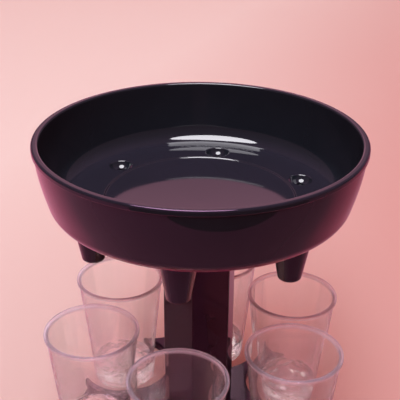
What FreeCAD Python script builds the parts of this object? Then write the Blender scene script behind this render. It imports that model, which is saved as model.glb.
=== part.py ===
import FreeCAD, Part
import math
import os

# Party shot dispenser: a shallow bowl with one moulded spout per cup stands on a hollow hexagonal
# column, and the column stands on a thin star-shaped base whose scallops hold the loose clear cups.
# Millimetres, +Z up, origin on the table under the centre of the column, front cup towards -Y.

Vector = FreeCAD.Vector
os.makedirs("parts", exist_ok=True)

# ---- cups -------------------------------------------------------------------------------------
cup_height = 61.6
cup_rim_radius = 22.9  # over the rolled bead
cup_foot_radius = 15.8
cup_wall = 1.2
cup_floor = 9.0  # thick clear bottom
cup_floor_round = 3.0  # inside corner between wall and floor
cup_foot_round = 0.8
cup_bead_height = 1.7
cup_bead_reach = 0.9  # how far the bead stands out from the wall
cup_bead_round = 0.55
cup_recess_depth = 1.0  # shallow dish under the foot, so that the cup stands on a ring
cup_ring_width = 2.4
# how far each loose cup stands out from the middle of its scallop, and how far round, in degrees
cup_places = {
    "cup_front": (0.6, 0.0),
    "cup_front_right": (1.4, 3.5),
    "cup_back_right": (-2.5, -0.6),
    "cup_back": (0.6, 0.0),
    "cup_back_left": (-0.1, 2.2),
    "cup_front_left": (0.9, -2.4),
}

# ---- stations: one cup, one scallop and one spout each ----------------------------------------
first_station_angle = -90.0  # degrees, the front cup
cup_gap = 7.4  # between neighbouring cup rims
spout_inset = 1.7  # spouts stand this much nearer the column than the scallops' centres
station_count = len(cup_places)
station_step = 360.0 / station_count
scallop_circle = (2 * cup_rim_radius + cup_gap) / (2 * math.sin(math.pi / station_count))
spout_circle = scallop_circle - spout_inset

# ---- bowl -------------------------------------------------------------------------------------
total_height = 156.0  # table to lip
bowl_depth = 33.0  # lip to the underside at the spouts
bowl_lower_draft = 15.0  # degrees, how far the wall leans outwards near the underside
bowl_upper_draft = 6.0  # and below the lip
bowl_bend_height = 19.5  # above the underside, where the wall eases from one lean to the other
bowl_bend_round = 110.0
bowl_wall = 2.7
bowl_floor = 3.0
bowl_outer_round = 8.6  # underside to wall
bowl_inner_round = 9.7  # floor to wall, or less where the drains need the room
bowl_flat_margin = 0.18  # flat left round a spout's root or a drain's mouth
lip_height = 2.6
lip_reach = 0.8  # how far the lip stands out from the wall
lip_round = 1.1
lip_under_round = 0.4
lip_root_round = 0.4  # between the lip's underside and the wall
dish_depth = 3.1  # the middle of the floor is a shallow dish inside the ring of drains
dish_step = 0.5  # small sloping step round the dish
dish_step_round = 0.7
pad_margin = 2.0  # flat pad under the dish beyond the column's arrises
pad_round = 1.5

# ---- spouts -----------------------------------------------------------------------------------
spout_drop = 21.0  # below the bowl's underside
spout_tip_radius = 5.2
spout_root_radius = 9.0
spout_tip_round = 1.3
spout_root_round = 0.7
drain_exit_radius = 2.1
drain_throat_radius = 2.6  # where the bore meets the round-bottomed mouth
drain_cup_radius = 6.2  # of the mouth's round bottom
drain_mouth_radius = 5.7
drain_mouth_round = 1.1

# ---- column -----------------------------------------------------------------------------------
column_radius = 18.4  # to the arrises
column_wall = 2.4
column_arris_round = 0.8
spigot_length = 12.0  # bowl's hexagonal spigot, which drops into the column
spigot_wall = 2.0
spigot_clearance = 0.25
spigot_lead_in = 0.8

# ---- base -------------------------------------------------------------------------------------
base_thickness = 4.5
base_reach = 12.2  # star's tips beyond the circle of scallops
arm_waist = 5.2  # the scallops leave arms this wide at their narrowest
tail_dip = 3.2  # how far the end of each arm is hollowed between its two horns
horn_width = 3.2  # on the outer circle
horn_round = 1.15
base_top_round = 1.1
base_bottom_round = 0.4
boss_height = 12.0  # hexagonal boss, which the column fits over
boss_wall = 2.4
boss_clearance = 0.15
boss_lead_in = 0.8

# ---- sizes that follow ------------------------------------------------------------------------
bowl_bottom = total_height - bowl_depth
lower_slope = math.tan(math.radians(bowl_lower_draft))
upper_slope = math.tan(math.radians(bowl_upper_draft))
round_run = math.tan(math.radians(90 - bowl_lower_draft) / 2)  # a rounding's reach along the flat, per radius
lip_bottom = total_height - lip_height
floor_level = bowl_bottom + bowl_floor
spout_tip_level = bowl_bottom - spout_drop
spout_root_reach = spout_root_radius + spout_root_round + bowl_flat_margin
drain_mouth_reach = drain_mouth_radius + drain_mouth_round + bowl_flat_margin
# the wall's radius where its line meets the underside, where it bends, at its top, and at the lip
bowl_foot_radius = spout_circle + spout_root_reach + bowl_outer_round * round_run
bend_level = bowl_bottom + bowl_bend_height
bend_radius = bowl_foot_radius + lower_slope * bowl_bend_height
wall_top_radius = bend_radius + upper_slope * (lip_bottom - bend_level)
bowl_rim_radius = wall_top_radius + lip_reach
# the inside of the wall follows the outside, one wall away
half_bend = math.radians(bowl_lower_draft - bowl_upper_draft) / 2
mean_draft = math.radians(bowl_lower_draft + bowl_upper_draft) / 2
inset = bowl_wall / math.cos(half_bend)
inner_bend_radius = bend_radius - inset * math.cos(mean_draft)
inner_bend_level = bend_level + inset * math.sin(mean_draft)
inner_foot_radius = inner_bend_radius - lower_slope * (inner_bend_level - floor_level)
inner_round = min(bowl_inner_round, (inner_foot_radius - spout_circle - drain_mouth_reach) / round_run)
# the bend eases as far as the straights beside it have room
outer_room = min(lip_bottom - bend_level - lip_root_round, bowl_bend_height - bowl_outer_round * round_run)
inner_room = inner_bend_level - floor_level - inner_round * round_run
bend_round = min(bowl_bend_round, min(outer_room, inner_room) / math.tan(half_bend))
dish_radius = spout_circle - drain_mouth_reach - dish_step
dish_level = floor_level - dish_step - dish_depth  # the lowest point of the floor
pad_level = dish_level - bowl_floor  # the bowl rests on the column here
pad_radius = column_radius + pad_margin
scallop_radius = scallop_circle * math.sin(math.pi / station_count) - arm_waist / 2
base_radius = scallop_circle + base_reach
hex_factor = math.cos(math.pi / station_count)  # flat-to-centre over corner-to-centre
column_bore_radius = column_radius - column_wall / hex_factor
overrun = 5.0  # how far a cutting tool passes the face that it cuts
touch = 0.01  # how closely an edge must match the place it is picked by


def station_angle(station):
    return first_station_angle + station * station_step


def polar(radius, degrees, height=0.0):
    turn = math.radians(degrees)
    return Vector(radius * math.cos(turn), radius * math.sin(turn), height)


def rounded_wire(corners):
    # Closed planar wire through (point, radius) corners, each rounded by a tangent arc.
    stretches = []
    count = len(corners)
    for index, (point, radius) in enumerate(corners):
        if radius == 0:
            stretches.append((point, None, point))
            continue
        back = (corners[index - 1][0] - point).normalize()
        ahead = (corners[(index + 1) % count][0] - point).normalize()
        half = back.getAngle(ahead) / 2
        inward = (back + ahead).normalize()
        run = radius / math.tan(half)
        middle = point + inward * (radius / math.sin(half) - radius)
        stretches.append((point + back * run, middle, point + ahead * run))
    edges = []
    for index, (start, middle, end) in enumerate(stretches):
        if middle is not None:
            edges.append(Part.Arc(start, middle, end).toShape())
        following = stretches[(index + 1) % count][0]
        side = corners[(index + 1) % count][0] - corners[index][0]
        if (following - end).dot(side) <= 0:
            raise ValueError("the roundings on one side of a wire overlap at corner " + str(index))
        edges.append(Part.LineSegment(end, following).toShape())
    return Part.Wire(edges)


def turned(profile):
    # Solid of revolution about Z from (radius, height, rounding) corners.
    wire = rounded_wire([(Vector(x, 0, z), rounding) for x, z, rounding in profile])
    return Part.Face(wire).revolve(Vector(0, 0, 0), Vector(0, 0, 1), 360)


def polygon_prism(radius, bottom, height, rounding=0.0):
    # Upright prism with one corner towards each station.
    corners = [(polar(radius, station_angle(n), bottom), rounding) for n in range(station_count)]
    return Part.Face(rounded_wire(corners)).extrude(Vector(0, 0, height))


def tapered_prism(bottom_radius, top_radius, bottom, height):
    # Upright prism whose corners run from one radius to another.
    ends = []
    for radius, level in ((bottom_radius, bottom), (top_radius, bottom + height)):
        ends.append(rounded_wire([(polar(radius, station_angle(n), level), 0) for n in range(station_count)]))
    return Part.makeLoft(ends, True, True)


def edges_where(shape, test):
    return [edge for edge in shape.Edges if test(edge)]


def circle_of(radius, height):
    # Test for whole level circles of one radius at one height, anywhere.
    def test(edge):
        box = edge.BoundBox
        level = abs(box.ZMin - height) < touch and abs(box.ZMax - height) < touch
        return level and edge.isClosed() and abs(edge.Length - 2 * math.pi * radius) < touch
    return test


def make_dish():
    # Cutting tool for the shallow round dish in the floor, with its sloping step.
    sphere_radius = (dish_radius**2 + dish_depth**2) / (2 * dish_depth)
    bottom = Vector(0, 0, dish_level)
    edge = Vector(dish_radius, 0, dish_level + dish_depth)
    centre = bottom + Vector(0, 0, sphere_radius)
    middle = centre + (bottom + edge - centre * 2).normalize() * sphere_radius
    step_top = Vector(dish_radius + dish_step, 0, floor_level)
    corner = step_top + Vector(overrun, 0, overrun)
    wire = Part.Wire([
        Part.Arc(bottom, middle, edge).toShape(),
        Part.LineSegment(edge, corner).toShape(),
        Part.LineSegment(corner, Vector(0, 0, corner.z)).toShape(),
        Part.LineSegment(Vector(0, 0, corner.z), bottom).toShape(),
    ])
    return Part.Face(wire).revolve(Vector(0, 0, 0), Vector(0, 0, 1), 360)


def make_bowl_shell():
    outside = turned([
        (0, pad_level, 0),
        (pad_radius, pad_level, pad_round),
        (spout_circle - spout_root_reach, bowl_bottom, pad_round),
        (bowl_foot_radius, bowl_bottom, bowl_outer_round),
        (bend_radius, bend_level, bend_round),
        (wall_top_radius, lip_bottom, lip_root_round),
        (bowl_rim_radius, lip_bottom, lip_under_round),
        (bowl_rim_radius, total_height, lip_round),
        (0, total_height, 0),
    ])
    top = total_height + overrun
    hollow = turned([
        (0, floor_level, 0),
        (inner_foot_radius, floor_level, inner_round),
        (inner_bend_radius, inner_bend_level, bend_round - bowl_wall),
        (inner_bend_radius + upper_slope * (top - inner_bend_level), top, 0),
        (0, top, 0),
    ])
    shell = outside.cut(hollow)
    lip_inner_radius = inner_bend_radius + upper_slope * (total_height - inner_bend_level)
    shell = shell.makeFillet(lip_round, edges_where(shell, circle_of(lip_inner_radius, total_height)))
    shell = shell.cut(make_dish())
    step_edges = edges_where(shell, circle_of(dish_radius + dish_step, floor_level))
    step_edges += edges_where(shell, circle_of(dish_radius, floor_level - dish_step))
    return shell.makeFillet(dish_step_round, step_edges)


def make_spout():
    # Solid spout on the Z axis, sunk into the bowl's floor.
    embedded = bowl_bottom + bowl_floor / 2
    return turned([
        (0, spout_tip_level, 0),
        (spout_tip_radius, spout_tip_level, spout_tip_round),
        (spout_root_radius, bowl_bottom, 0),
        (spout_root_radius, embedded, 0),
        (0, embedded, 0),
    ])


def make_drain():
    # Cutting tool for one drain on the Z axis: a round-bottomed mouth over a tapered bore.
    cup_centre = floor_level + math.sqrt(drain_cup_radius**2 - drain_mouth_radius**2)
    throat_level = cup_centre - math.sqrt(drain_cup_radius**2 - drain_throat_radius**2)
    mouth = Part.makeSphere(drain_cup_radius, Vector(0, 0, cup_centre))
    bore = turned([
        (0, spout_tip_level - overrun, 0),
        (drain_exit_radius, spout_tip_level - overrun, 0),
        (drain_exit_radius, spout_tip_level, 0),
        (drain_throat_radius, throat_level, 0),
        (drain_throat_radius, cup_centre, 0),
        (0, cup_centre, 0),
    ])
    return mouth.fuse(bore)


def make_spigot():
    # Hollow hexagonal spigot under the bowl, chamfered so that it finds the column.
    radius = column_bore_radius - spigot_clearance / hex_factor
    low = pad_level - spigot_length
    straight = polygon_prism(radius, low + spigot_lead_in, spigot_length - spigot_lead_in + bowl_floor / 2)
    lead = tapered_prism(radius - spigot_lead_in, radius, low, spigot_lead_in)
    core = polygon_prism(radius - spigot_wall / hex_factor, low - overrun, spigot_length + overrun)
    return straight.fuse(lead).cut(core).removeSplitter()


def make_bowl():
    places = [polar(spout_circle, station_angle(n)) for n in range(station_count)]
    spout = make_spout()
    bowl = make_bowl_shell().fuse([spout.translated(place) for place in places])
    bowl = bowl.makeFillet(spout_root_round, edges_where(bowl, circle_of(spout_root_radius, bowl_bottom)))
    drain = make_drain()
    bowl = bowl.cut([drain.translated(place) for place in places])
    bowl = bowl.makeFillet(drain_mouth_round, edges_where(bowl, circle_of(drain_mouth_radius, floor_level)))
    return bowl.fuse(make_spigot())


def make_column():
    height = pad_level - base_thickness
    outside = polygon_prism(column_radius, base_thickness, height, column_arris_round)
    bore = polygon_prism(column_bore_radius, base_thickness - overrun, height + 2 * overrun)
    return outside.cut(bore)


def make_boss():
    # Hollow hexagonal boss on the base, chamfered at the top.
    radius = column_bore_radius - boss_clearance / hex_factor
    straight = polygon_prism(radius, base_thickness / 2, base_thickness / 2 + boss_height - boss_lead_in)
    lead = tapered_prism(radius, radius - boss_lead_in, base_thickness + boss_height - boss_lead_in, boss_lead_in)
    core = polygon_prism(radius - boss_wall / hex_factor, base_thickness, boss_height + overrun)
    return straight.fuse(lead).cut(core).removeSplitter()


def make_star_base():
    plate = Part.makeCylinder(base_radius, base_thickness)
    scallop = Part.makeCylinder(scallop_radius, base_thickness + 2 * overrun, Vector(0, 0, -overrun))
    plate = plate.cut([scallop.translated(polar(scallop_circle, station_angle(n))) for n in range(station_count)])
    # hollow the end of each arm with an arc that leaves two horns
    crossing = (base_radius**2 + scallop_circle**2 - scallop_radius**2) / (2 * base_radius * scallop_circle)
    half_arm_angle = math.radians(station_step / 2) - math.acos(crossing)
    half_tail_angle = half_arm_angle - horn_width / base_radius
    half_tail = base_radius * math.sin(half_tail_angle)
    horn_reach = base_radius * math.cos(half_tail_angle)
    tail_radius = (half_tail**2 + tail_dip**2) / (2 * tail_dip)
    tail = Part.makeCylinder(tail_radius, base_thickness + 2 * overrun, Vector(0, 0, -overrun))
    tail_centre = horn_reach - tail_dip + tail_radius
    plate = plate.cut([tail.translated(polar(tail_centre, station_angle(n + 0.5))) for n in range(station_count)])

    def horn(edge):
        return edge.BoundBox.ZLength > base_thickness - touch and edge.BoundBox.XLength < touch

    plate = plate.makeFillet(horn_round, edges_where(plate, horn))
    plate = plate.makeFillet(base_top_round, edges_where(plate, lambda edge: edge.BoundBox.ZMin > base_thickness - touch))
    plate = plate.makeFillet(base_bottom_round, edges_where(plate, lambda edge: edge.BoundBox.ZMax < touch))
    return plate.fuse(make_boss())


def make_cup():
    under_bead_radius = cup_rim_radius - cup_bead_reach
    bead_bottom = cup_height - cup_bead_height
    slope = (under_bead_radius - cup_foot_radius) / bead_bottom
    wall_across = cup_wall * math.sqrt(1 + slope**2)
    recess_radius = cup_foot_radius - cup_ring_width
    return turned([
        (0, cup_recess_depth, 0),
        (recess_radius - cup_recess_depth, cup_recess_depth, cup_recess_depth / 2),
        (recess_radius, 0, 0),
        (cup_foot_radius, 0, cup_foot_round),
        (under_bead_radius, bead_bottom, 0),
        (cup_rim_radius, bead_bottom, cup_bead_round),
        (cup_rim_radius, cup_height, cup_bead_round),
        (under_bead_radius + slope * cup_bead_height - wall_across, cup_height, cup_bead_round),
        (cup_foot_radius + slope * cup_floor - wall_across, cup_floor, cup_floor_round),
        (0, cup_floor, 0),
    ])


def save(name, shape):
    solids = shape.Solids
    print(name, len(solids), shape.isValid(), round(shape.Volume, 1), shape.BoundBox)
    solid = solids[0] if len(solids) == 1 else shape
    solid.exportStep("parts/" + name + ".step")


save("bowl", make_bowl())
save("column", make_column())
save("star_base", make_star_base())
cup = make_cup()
for station, (name, (outwards, around)) in enumerate(cup_places.items()):
    spot = polar(scallop_circle + outwards, station_angle(station) + around)
    save(name, cup.translated(spot))
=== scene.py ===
import math

import bmesh
import bpy
from mathutils import Matrix, Vector


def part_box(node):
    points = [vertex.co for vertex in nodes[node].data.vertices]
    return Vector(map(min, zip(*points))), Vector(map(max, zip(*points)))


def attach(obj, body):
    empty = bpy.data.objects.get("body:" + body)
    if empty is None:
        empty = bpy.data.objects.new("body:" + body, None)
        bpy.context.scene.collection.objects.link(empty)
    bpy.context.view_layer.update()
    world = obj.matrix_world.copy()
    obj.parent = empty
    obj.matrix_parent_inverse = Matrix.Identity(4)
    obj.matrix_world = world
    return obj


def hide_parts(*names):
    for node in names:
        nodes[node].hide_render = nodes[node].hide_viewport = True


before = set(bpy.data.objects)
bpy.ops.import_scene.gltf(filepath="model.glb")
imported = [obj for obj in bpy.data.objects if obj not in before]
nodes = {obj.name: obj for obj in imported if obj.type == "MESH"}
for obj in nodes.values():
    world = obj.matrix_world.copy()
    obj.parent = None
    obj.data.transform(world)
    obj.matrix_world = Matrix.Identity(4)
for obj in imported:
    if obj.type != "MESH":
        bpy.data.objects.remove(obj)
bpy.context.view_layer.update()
cupNames = [name for name in nodes if name.startswith("cup_")]
print("frame loaded:", len(nodes), "nodes")

millimetre = 0.001
black = (0.0, 0.0, 0.0, 1.0)
white = (1.0, 1.0, 1.0, 1.0)
halfway = 0.5  # between no and yes, and from a ramp's start to its middle


class Value:
    # a socket that takes part in ordinary arithmetic; each operation adds a Math node
    def __init__(self, graph, socket):
        self.graph = graph
        self.socket = socket

    def maths(self, operation, *values):
        return self.graph.add("ShaderNodeMath", {"operation": operation}, dict(enumerate(values)))

    def __add__(self, other):
        return self.maths("ADD", self, other)

    def __sub__(self, other):
        return self.maths("SUBTRACT", self, other)

    def __rsub__(self, other):
        return self.maths("SUBTRACT", other, self)

    def __mul__(self, other):
        return self.maths("MULTIPLY", self, other)

    __radd__ = __add__
    __rmul__ = __mul__


class Graph:
    # the node tree of a material or of the world, emptied
    def __init__(self, owner):
        owner.use_nodes = True
        self.tree = owner.node_tree
        self.tree.nodes.clear()

    def add(self, kind, settings=None, inputs=None, output=0):
        # a node of any kind: its settings first, then a plain value or a Value for each input
        node = self.tree.nodes.new(kind)
        for name, setting in (settings or {}).items():
            if name == "stops":
                ramp = node.color_ramp.elements
                while len(ramp) < len(setting):
                    ramp.new(halfway)
                for stop, (place, tone) in zip(ramp, setting):
                    stop.position = place
                    stop.color = tone
            else:
                setattr(node, name, setting)
        for name, value in (inputs or {}).items():
            if isinstance(value, Value):
                self.tree.links.new(value.socket, node.inputs[name])
            else:
                node.inputs[name].default_value = value
        return Value(self, node.outputs[output]) if node.outputs else None

    def place(self):
        return self.add("ShaderNodeTexCoord", output="Object")

    def axis(self, vector, name):
        return self.add("ShaderNodeSeparateXYZ", None, {0: vector}, name)

    def noise(self, scale, detail, roughness, at=None):
        inputs = {"Vector": at or self.place(), "Scale": scale, "Detail": detail, "Roughness": roughness}
        return self.add("ShaderNodeTexNoise", None, inputs, "Fac")

    def ramp(self, value, stops):
        return self.add("ShaderNodeValToRGB", {"stops": stops}, {"Fac": value})

    def bump(self, height, distance, over=None):
        inputs = {"Height": height, "Strength": 1.0, "Distance": distance}
        if over:
            inputs["Normal"] = over
        return self.add("ShaderNodeBump", None, inputs)

    def blend(self, share, first, second):
        # two colours; 6, 7 and 2 are the colour sockets of a Mix node
        return self.add("ShaderNodeMix", {"data_type": "RGBA"}, {0: share, 6: first, 7: second}, 2)

    def mix(self, share, first, second):
        return self.add("ShaderNodeMixShader", None, {0: share, 1: first, 2: second})

    def ray(self, kind):
        return self.add("ShaderNodeLightPath", output=kind)

    def mirrored(self):
        # 1 for what is met in a reflection; light bent through clear plastic counts as seen
        glossy = self.ray("Is Glossy Ray")
        return glossy.maths("GREATER_THAN", glossy - self.ray("Is Transmission Ray"), halfway)

    def finish(self, shader, kind="ShaderNodeOutputMaterial"):
        self.add(kind, None, {"Surface": shader})


def newMaterial(name):
    material = bpy.data.materials.new(name)
    return material, Graph(material)


def dress(piece, material):
    piece.data.materials.clear()
    piece.data.materials.append(material)


blackPlastic = {
    # base colour where the moulding is cleanest and where handling has hazed it
    "bowlTones": [(0.35, (0.0125, 0.0125, 0.019, 1.0)), (0.7, (0.016, 0.0155, 0.0235, 1.0))],
    "standTones": [(0.35, (0.011, 0.005, 0.009, 1.0)), (0.7, (0.0145, 0.0065, 0.0115, 1.0))],
    "patches": (22.0, 4.0, 0.6),  # each noise: scale, detail, roughness
    "sheen": (0.66, 0.25, 0.56, 1.0),  # tint of what outward walls mirror head on
    "paintedEdgeReflection": (0.34, 0.03, 0.12, 1.0),  # painted reflection: base colour of the bowl's outward walls seen edge on, magenta as if mirroring the pink surroundings
    "edgeReflectionBend": 0.42,  # how early a wall counts as edge on
    "edgeOn": [(0.45, black), (0.95, white)],  # from face on (0) to edge on (1)
    "outward": [(0.2, black), (0.6, white)],  # how far a surface faces away from the middle
    "paintedTopLight": (0.0245, 0.0175, 0.03, 1.0),  # painted overhead light: a lighter base colour of the bowl where it faces up
    "upward": [(0.55, black), (0.97, white)],  # where it faces up enough to take the painted overhead light
    "topLightLeast": 0.5,  # added to the patches, which thin the painted overhead light
    "ior": 1.49,
    "gloss": (0.015, 0.045),  # roughness, least and most
    "smears": (75.0, 5.0, 0.65),
    "skin": (1900.0, 2.0, 0.5),  # moulded skin
    "skinHeight": 0.0000004,
    "waves": (26.0, 1.0, 0.5),  # slow unevenness left by shrinkage
    "waveHeight": 0.00001,
}


def makeBlackPlastic(name, tones, isBowl):
    look = blackPlastic
    material, graph = newMaterial(name)
    patches = graph.noise(*look["patches"])
    tone = graph.ramp(patches, tones)
    normal = graph.add("ShaderNodeNewGeometry", output="Normal")
    if isBowl:
        facing = graph.add("ShaderNodeLayerWeight", None, {"Blend": look["edgeReflectionBend"]}, "Facing")
        level = graph.add("ShaderNodeVectorMath", {"operation": "MULTIPLY"}, {
            0: graph.place(), 1: (1.0, 1.0, 0.0)})
        spoke = graph.add("ShaderNodeVectorMath", {"operation": "NORMALIZE"}, {0: level})
        away = graph.add("ShaderNodeVectorMath", {"operation": "DOT_PRODUCT"}, {0: spoke, 1: normal}, "Value")
        outside = graph.ramp(away, look["outward"])
        # painted reflection: the outward walls turn magenta towards their silhouettes
        tone = graph.blend(graph.ramp(facing, look["edgeOn"]) * outside, tone, look["paintedEdgeReflection"])
        # painted overhead light: the bowl is lighter where it faces up, unevenly in patches
        toplit = graph.ramp(graph.axis(normal, "Z"), look["upward"]) * (patches + look["topLightLeast"])
        tone = graph.blend(toplit, tone, look["paintedTopLight"])
    low, high = look["gloss"]
    smears = graph.noise(*look["smears"])
    waves = graph.bump(graph.noise(*look["waves"]), look["waveHeight"])
    skin = graph.bump(graph.noise(*look["skin"]), look["skinHeight"], waves)
    plastic = {
        "Base Color": tone, "Roughness": low + (high - low) * smears, "IOR": look["ior"], "Normal": skin}
    shader = graph.add("ShaderNodeBsdfPrincipled", None, {**plastic, "Specular Tint": look["sheen"]})
    if isBowl:
        shader = graph.mix(outside, graph.add("ShaderNodeBsdfPrincipled", None, plastic), shader)
    graph.finish(shader)
    return material


# the bowl is modelled afresh, so that its curves mirror the lamps cleanly
bowlShape = {
    # outlines as (radius, height, reach of the rounding along each side), in millimetres
    "floor": [
        (0, 122.4, 0), (22.12, 122.4, 21.85), (44.02, 125.5, 0.23), (44.52, 126, 0.29), (44.95, 126, 0)],
    "wall": [
        (58.4, 126, 0), (65.988, 126, 7.44), (70.541, 142.994, 8.44), (71.908, 156, 0.99), (75.15, 156, 1.1),
        (75.15, 153.4, 0.4), (74.35, 153.4, 0.36), (73.204, 142.5, 8.65), (67.979, 123, 6.6), (61.3, 123, 0)],
    "underside": [(41.8, 123, 0), (41.62, 123, 0.13), (20.4, 119.4, 0.13), (19.5, 119.4, 0)],
    "spout": [
        (6.384, 126, 0), (5.737, 126, 0.645), (4.439, 123.66, 2.02), (2.6, 122.811, 0), (2.1, 102, 0),
        (5.2, 102, 1.09), (9.0, 123, 0.585), (9.64, 123, 0)],
    "turnPerPiece": math.radians(5.0),  # of a rounding
    "fewestPieces": 4,
    "bowlSteps": 240,
    "spoutSteps": 56,
    "spoutCircle": 51.5,  # from the axis to each spout
    "spoutCount": 6,
    "spigotSides": 6,
    "spigotRadius": 15.34,  # to the corners
    "spigotCore": 13.03,  # the same, of its bore
    "spigotLength": 12.0,
    "spigotLead": 0.8,  # chamfer at its foot
    "floorLevel": 126.0,
    "undersideLevel": 123.0,
    "padLevel": 119.4,
    "levelWithin": 0.01,  # a vertex counts as on a level
    "mergeWithin": 0.004,
    "smoothBelow": math.radians(38.0),
}


def selectEdges(piece, test):
    bpy.ops.mesh.select_all(action="DESELECT")
    mesh = bmesh.from_edit_mesh(piece.data)
    for edge in mesh.edges:
        if test(edge):
            edge.select = True
    bmesh.update_edit_mesh(piece.data)


def mergeDoubles():
    bpy.ops.mesh.select_all(action="SELECT")
    bpy.ops.mesh.remove_doubles(threshold=bowlShape["mergeWithin"] * millimetre)


def roundOff(outline):
    # the outline's points in metres, each rounded corner as points on its arc
    corners = [Vector((radius, 0.0, height)) * millimetre for radius, height, reach in outline]
    points = []
    for index, corner in enumerate(corners):
        reach = outline[index][2] * millimetre
        if not reach:
            points.append(corner)
            continue
        back = (corners[index - 1] - corner).normalized()
        ahead = (corners[index + 1] - corner).normalized()
        half = back.angle(ahead) / 2
        centre = corner + (back + ahead).normalized() * (reach / math.cos(half))
        first, last = corner + back * reach - centre, corner + ahead * reach - centre
        pieces = bowlShape["fewestPieces"] + round((math.pi - 2 * half) / bowlShape["turnPerPiece"])
        for piece in range(pieces + 1):
            spoke = first.normalized().slerp(last.normalized(), piece / pieces)
            points.append(centre + spoke * first.length)
    return points


def turnOutline(name, outline, steps):
    # pull the rounded outline out of one vertex and spin it about the Z axis
    bpy.ops.object.select_all(action="DESELECT")
    bpy.ops.mesh.primitive_plane_add(size=millimetre)
    piece = bpy.context.object
    piece.name = name
    bpy.ops.object.mode_set(mode="EDIT")
    bpy.ops.mesh.merge(type="CENTER")
    points = roundOff(outline)
    bpy.ops.transform.translate(value=points[0])
    for last, point in zip(points, points[1:]):
        bpy.ops.mesh.extrude_vertices_move(TRANSFORM_OT_translate={"value": point - last})
    bpy.ops.mesh.select_all(action="SELECT")
    bpy.ops.mesh.spin(steps=steps, angle=math.tau, center=(0.0, 0.0, 0.0), axis=(0.0, 0.0, 1.0))
    mergeDoubles()
    bpy.ops.object.mode_set(mode="OBJECT")
    return piece


def pullRing(radiusFactor, rise):
    bpy.ops.mesh.extrude_edges_move(TRANSFORM_OT_translate={"value": (0.0, 0.0, rise * millimetre)})
    bpy.ops.transform.resize(value=(radiusFactor, radiusFactor, 1.0), center_override=(0.0, 0.0, 0.0))


def makeSpigot():
    # hollow hexagon under the bowl: down its outside, in along the chamfer and up its inside
    outer, core = bowlShape["spigotRadius"], bowlShape["spigotCore"]
    lead = bowlShape["spigotLead"]
    bpy.ops.object.select_all(action="DESELECT")
    bpy.ops.mesh.primitive_circle_add(
        vertices=bowlShape["spigotSides"], radius=outer * millimetre,
        location=(0.0, 0.0, bowlShape["padLevel"] * millimetre))
    piece = bpy.context.object
    bpy.ops.object.transform_apply(location=True, rotation=False, scale=False)
    bpy.ops.object.mode_set(mode="EDIT")
    bpy.ops.mesh.select_all(action="SELECT")
    pullRing(1.0, lead - bowlShape["spigotLength"])
    pullRing((outer - lead) / outer, -lead)
    pullRing(core / (outer - lead), 0.0)
    pullRing(1.0, bowlShape["spigotLength"])
    bpy.ops.object.mode_set(mode="OBJECT")
    return piece


def makeSpouts():
    # one spout and its drain, copied round the bowl
    spouts = [turnOutline("spout", bowlShape["spout"], bowlShape["spoutSteps"])]
    spouts[0].data.transform(Matrix.Translation((0.0, -bowlShape["spoutCircle"] * millimetre, 0.0)))
    for number in range(1, bowlShape["spoutCount"]):
        spout = spouts[0].copy()
        spout.data = spouts[0].data.copy()
        bpy.context.scene.collection.objects.link(spout)
        spout.data.transform(Matrix.Rotation(math.tau * number / bowlShape["spoutCount"], 4, "Z"))
        spouts.append(spout)
    return spouts


def fillLevel(piece, level):
    # close the flat between all open loops at one height; loops inside it stay holes
    near = bowlShape["levelWithin"] * millimetre

    def onLoop(edge):
        ends = [abs(vertex.co.z - level * millimetre) < near for vertex in edge.verts]
        return edge.is_boundary and all(ends)

    selectEdges(piece, onLoop)
    bpy.ops.mesh.fill(use_beauty=True)


def makeBowl():
    pieces = [
        turnOutline("bowlFloor", bowlShape["floor"], bowlShape["bowlSteps"]),
        turnOutline("bowlWall", bowlShape["wall"], bowlShape["bowlSteps"]),
        turnOutline("bowlUnderside", bowlShape["underside"], bowlShape["bowlSteps"]),
        makeSpigot()] + makeSpouts()
    bpy.ops.object.select_all(action="DESELECT")
    for piece in pieces:
        piece.select_set(True)
    bowl = pieces[0]
    bpy.context.view_layer.objects.active = bowl
    bpy.ops.object.join()
    bowl.name = "roundBowl"
    bpy.ops.object.mode_set(mode="EDIT")
    for level in (bowlShape["floorLevel"], bowlShape["undersideLevel"], bowlShape["padLevel"]):
        fillLevel(bowl, level)
    mergeDoubles()
    bpy.ops.mesh.normals_make_consistent(inside=False)
    bpy.ops.object.mode_set(mode="OBJECT")
    bpy.ops.object.shade_smooth_by_angle(angle=bowlShape["smoothBelow"])
    weighted = bowl.modifiers.new("weighted", "WEIGHTED_NORMAL")
    weighted.keep_sharp = True
    bpy.ops.object.modifier_apply(modifier=weighted.name)
    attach(bowl, "bowl_body")
    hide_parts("bowl")
    dress(bowl, makeBlackPlastic("bowlPlastic", blackPlastic["bowlTones"], True))
    print("bowl modelled:", len(bowl.data.polygons), "faces")


clearPlastic = {
    "tint": (0.99, 0.98, 0.99, 1.0),
    "ior": 1.38,
    "gloss": (0.006, 0.03),
    "sheen": (0.95, 0.68, 1.0, 1.0),  # tint of what it mirrors head on
    "haze": (60.0, 3.0, 0.6),  # from clear to slightly hazy
    "bareShare": 0.16,  # light that passes without bending
    "shadow": (0.985, 0.975, 0.985, 1.0),  # how much lamp light passes through
    "streaks": (90.0, 2.0, 0.5),  # upright flow lines round the wall
    "streakStretch": 0.06,
    "streakHeight": 0.00005,
    "swirls": (130.0, 1.0, 0.5),  # frozen swirls in the thick bottom
    "swirlHeight": 0.0035,
    "swirlTop": 0.0095,  # metres up from the table
    "swirlFade": 0.1,  # share of the swirls' top over which they fade
    "rimDepth": 0.0022,  # metres down from the top
    "rimTint": (0.97, 0.93, 0.98, 1.0),
    "rimHighlightMist": (0.97, 0.74, 0.92, 1.0),  # painted highlight: a little lilac milkiness along the rim, for its bright band
    "rimHighlightShare": (0.3, 0.3, 0.3, 1.0),
    "rimFade": (0.005, 0.008),  # shares of the height over which the tint and the painted rim highlight begin
}


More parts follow.
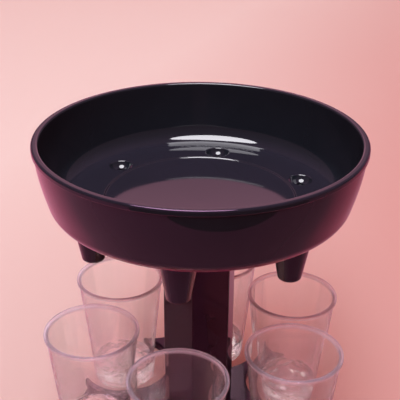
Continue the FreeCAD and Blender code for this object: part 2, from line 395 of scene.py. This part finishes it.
def makeClearPlastic(name, middle, top):
    look = clearPlastic
    material, graph = newMaterial(name)
    height = graph.axis(graph.place(), "Z") * (1.0 / top)
    rim = 1.0 - look["rimDepth"] / top
    tintFade, highlightFade = look["rimFade"]
    tint = graph.ramp(height, [(rim - tintFade, look["tint"]), (rim, look["rimTint"])])
    aboutAxis = graph.add("ShaderNodeMapping", None, {
        "Vector": graph.place(), "Location": (-middle[0], -middle[1], 0.0)})
    stretched = graph.add("ShaderNodeMapping", None, {
        "Vector": aboutAxis, "Scale": (1.0, 1.0, look["streakStretch"])})
    flow = graph.bump(graph.noise(*look["streaks"], at=stretched), look["streakHeight"])
    base, fade = look["swirlTop"] / top, look["swirlFade"]
    bottom = graph.ramp(height, [(base * (1.0 - fade), white), (base * (1.0 + fade), black)])
    surface = graph.bump(graph.noise(*look["swirls"]) * bottom, look["swirlHeight"], flow)
    low, high = look["gloss"]
    shader = graph.add("ShaderNodeBsdfPrincipled", None, {
        "Base Color": tint, "Roughness": low + (high - low) * graph.noise(*look["haze"]), "IOR": look["ior"],
        "Specular Tint": look["sheen"], "Transmission Weight": 1.0, "Normal": surface})
    # painted highlight: a milky diffuse band along the rim
    rimHighlight = graph.add("ShaderNodeBsdfDiffuse", None, {"Color": look["rimHighlightMist"]})
    rimHighlighted = graph.ramp(height, [(rim, black), (rim + highlightFade, look["rimHighlightShare"])])
    passing = graph.add("ShaderNodeBsdfTransparent", None, {"Color": look["shadow"]})
    lampRay = graph.ray("Is Shadow Ray")
    bare = lampRay.maths("MAXIMUM", lampRay, look["bareShare"])
    graph.finish(graph.mix(bare, graph.mix(rimHighlighted, shader, rimHighlight), passing))
    return material


makeBowl()
for name in ("column", "star_base"):
    dress(nodes[name], makeBlackPlastic(name + "Plastic", blackPlastic["standTones"], False))
for name in cupNames:
    low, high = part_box(name)
    dress(nodes[name], makeClearPlastic(name + "Plastic", (low + high) / 2, high[2]))
print("materials dressed")

floorPaper = {
    "size": 8.0,
    "slant": 0.25,  # how far the painted light's gradient turns from left-right towards front-back
    "clouds": (2.2, 1.0, 0.5),
    "cloudDepth": 0.1,  # how far the clouds shift the gradient
    "tones": [(0.25, (0.91, 0.61, 0.6, 1.0)), (0.65, (0.71, 0.285, 0.275, 1.0))],  # painted light: lighter at left, darker at right, as the light falls off
    # painted reflection: the floor's tone as glossy surfaces mirror it, darker and more magenta
    "paintedReflectionTones": [(0.3, (0.82, 0.32, 0.45, 1.0)), (0.7, (0.36, 0.14, 0.19, 1.0))],
    "grain": (700.0, 3.0, 0.5),
    "grainHeight": 0.00002,
    "roughness": 0.75,
    "shine": 0.2,
}


def makeFloor():
    bpy.ops.object.select_all(action="DESELECT")
    bpy.ops.mesh.primitive_plane_add(size=floorPaper["size"])
    floor = bpy.context.object
    floor.name = "floor"
    material, graph = newMaterial("floorPaper")
    across, along = graph.axis(graph.place(), "X"), graph.axis(graph.place(), "Y")
    cloud = graph.noise(*floorPaper["clouds"]) * floorPaper["cloudDepth"]
    # painted light: the floor's tone falls off from left to right
    slant = across - along * floorPaper["slant"] + cloud + halfway
    seen = graph.ramp(slant, floorPaper["tones"])
    # painted reflection: glossy surfaces mirror the floor in darker, more magenta tones
    tone = graph.blend(graph.mirrored(), seen, graph.ramp(slant, floorPaper["paintedReflectionTones"]))
    graph.finish(graph.add("ShaderNodeBsdfPrincipled", None, {
        "Base Color": tone, "Roughness": floorPaper["roughness"], "Specular IOR Level": floorPaper["shine"],
        "Normal": graph.bump(graph.noise(*floorPaper["grain"]), floorPaper["grainHeight"])}))
    dress(floor, material)


# painted reflection: a dark sheet on the floor in front, met only in reflections: the bowl's front mirrors
# its edge as a dark patch
darkReflectionFlag = {
    "place": (0.09, -0.197, 0.0006),  # middle of its near edge
    "turn": math.radians(22.7),
    "size": (1.4, 0.8),
    "mottle": (9.0, 2.0, 0.5),
    "tones": [(0.3, (0.006, 0.004, 0.007, 1.0)), (0.7, (0.01, 0.007, 0.012, 1.0))],
    "roughness": 0.9,
}


def makeDarkReflectionFlag():
    bpy.ops.object.select_all(action="DESELECT")
    bpy.ops.mesh.primitive_plane_add(size=1.0)
    flag = bpy.context.object
    flag.name = "darkReflectionFlag"
    wide, deep = darkReflectionFlag["size"]
    turn = Matrix.Rotation(darkReflectionFlag["turn"], 4, "Z")
    sheet = Matrix.Translation((0.0, -deep / 2, 0.0)) @ Matrix.Diagonal((wide, deep, 1.0, 1.0))
    flag.data.transform(Matrix.Translation(darkReflectionFlag["place"]) @ turn @ sheet)
    material, graph = newMaterial("darkReflectionFlag")
    graph.finish(graph.add("ShaderNodeBsdfPrincipled", None, {
        "Base Color": graph.ramp(graph.noise(*darkReflectionFlag["mottle"]), darkReflectionFlag["tones"]),
        "Roughness": darkReflectionFlag["roughness"], "Specular IOR Level": 0.0}))
    dress(flag, material)
    # seen only in reflections, where it paints a dark reflection
    flag.visible_camera = False
    flag.visible_diffuse = False
    flag.visible_transmission = False
    flag.visible_shadow = False


surroundings = {
    "fill": (1.0, 0.37, 0.31, 1.0),
    "fillStrength": 0.61,
    "farWall": (0.74, 0.36, 0.34, 1.0),  # seen beyond the floor
    # seen through clear plastic, from low to high: the sky's upper part gives the glints
    "throughGlass": [(0.02, (0.42, 0.22, 0.22, 1.0)), (0.3, (0.92, 0.68, 0.72, 1.0)),
                     (0.5, (0.92, 0.68, 0.72, 1.0)), (0.56, (3.2, 2.8, 2.7, 1.0))],
    # mirrored by glossy surfaces: a bright patch low behind the object, a dim ceiling elsewhere
    "mirrored": [(0.0, (0.2, 0.11, 0.15, 1.0)), (1.0, (1.05, 0.46, 0.62, 1.0))],
    "patchHeight": [(0.62, white), (0.8, black)],
    "patchDepth": [(0.35, black), (0.6, white)],
    "patchWidth": [(0.1, black), (0.2, white), (0.47, white), (0.57, black)],
}


def makeWorld():
    look = surroundings
    world = bpy.data.worlds.new("studio")
    bpy.context.scene.world = world
    graph = Graph(world)
    direction = graph.add("ShaderNodeTexCoord", output="Generated")
    upward = graph.axis(direction, "Z")
    low = graph.ramp(upward, look["patchHeight"])
    behind = graph.ramp(graph.axis(direction, "Y"), look["patchDepth"])
    between = graph.ramp(graph.axis(direction, "X") + halfway, look["patchWidth"])

    def background(tone, strength=1.0):
        return graph.add("ShaderNodeBackground", None, {"Color": tone, "Strength": strength})

    # what matt surfaces gather through clear plastic is the plain fill
    depth = graph.ray("Diffuse Depth")
    through = graph.ray("Is Transmission Ray") * depth.maths("LESS_THAN", depth, halfway)
    seen = graph.mix(
        through, background(look["fill"], look["fillStrength"]),
        background(graph.ramp(upward, look["throughGlass"])))
    seen = graph.mix(graph.ray("Is Camera Ray"), seen, background(look["farWall"]))
    mirrored = background(graph.ramp(low * behind * between, look["mirrored"]))
    graph.finish(graph.mix(graph.mirrored(), seen, mirrored), "ShaderNodeOutputWorld")


softboxes = {
    # only mirrored: the white arc in the bowl and the glints on the rims and drains
    "overheadGlow": {
        "place": (-0.09, -0.16, 1.1), "aim": (-0.09, -0.16, 0.0), "size": (0.7, 0.62),
        "power": 20.0, "colour": (0.96, 0.94, 1.0), "mirrored": True},
    # only lights: long from front to back, for the short soft shadow round the stand
    "keySoftbox": {
        "place": (-0.18, -1.12, 3.0), "aim": (-0.18, -1.12, 0.0), "size": (0.95, 5.1),
        "power": 121.0, "colour": (0.549, 0.966, 1.0), "mirrored": False},
}


def addSoftboxes():
    for name, look in softboxes.items():
        lamp = bpy.data.lights.new(name, "AREA")
        lamp.shape = "ELLIPSE"
        lamp.size, lamp.size_y = look["size"]
        lamp.energy = look["power"]
        lamp.color = look["colour"]
        holder = bpy.data.objects.new(name, lamp)
        bpy.context.scene.collection.objects.link(holder)
        holder.location = look["place"]
        toAim = Vector(look["aim"]) - Vector(look["place"])
        holder.rotation_euler = toAim.to_track_quat("-Z", "Y").to_euler()
        holder.visible_glossy = look["mirrored"]
        holder.visible_transmission = False
        holder.visible_diffuse = not look["mirrored"]


cameraView = {
    "place": (0.05929, -0.34378, 0.29647),
    "down": 26.396,
    "turn": 9.79,
    "roll": 0.454,
    "lens": 75.41,
    "sensor": 36.0,
    "near": 0.01,
}


def addCamera():
    camera = bpy.data.cameras.new("camera")
    camera.lens = cameraView["lens"]
    camera.sensor_width = cameraView["sensor"]
    camera.clip_start = cameraView["near"]
    holder = bpy.data.objects.new("camera", camera)
    bpy.context.scene.collection.objects.link(holder)
    turn = Matrix.Rotation(math.radians(cameraView["turn"]), 4, "Z")
    tilt = Matrix.Rotation(math.radians(90.0 - cameraView["down"]), 4, "X")
    roll = Matrix.Rotation(math.radians(cameraView["roll"]), 4, "Z")
    holder.matrix_world = Matrix.Translation(cameraView["place"]) @ turn @ tilt @ roll
    bpy.context.scene.camera = holder


makeFloor()
makeDarkReflectionFlag()
makeWorld()
addSoftboxes()
addCamera()
bpy.context.scene.view_settings.view_transform = "Standard"
print("studio lit")
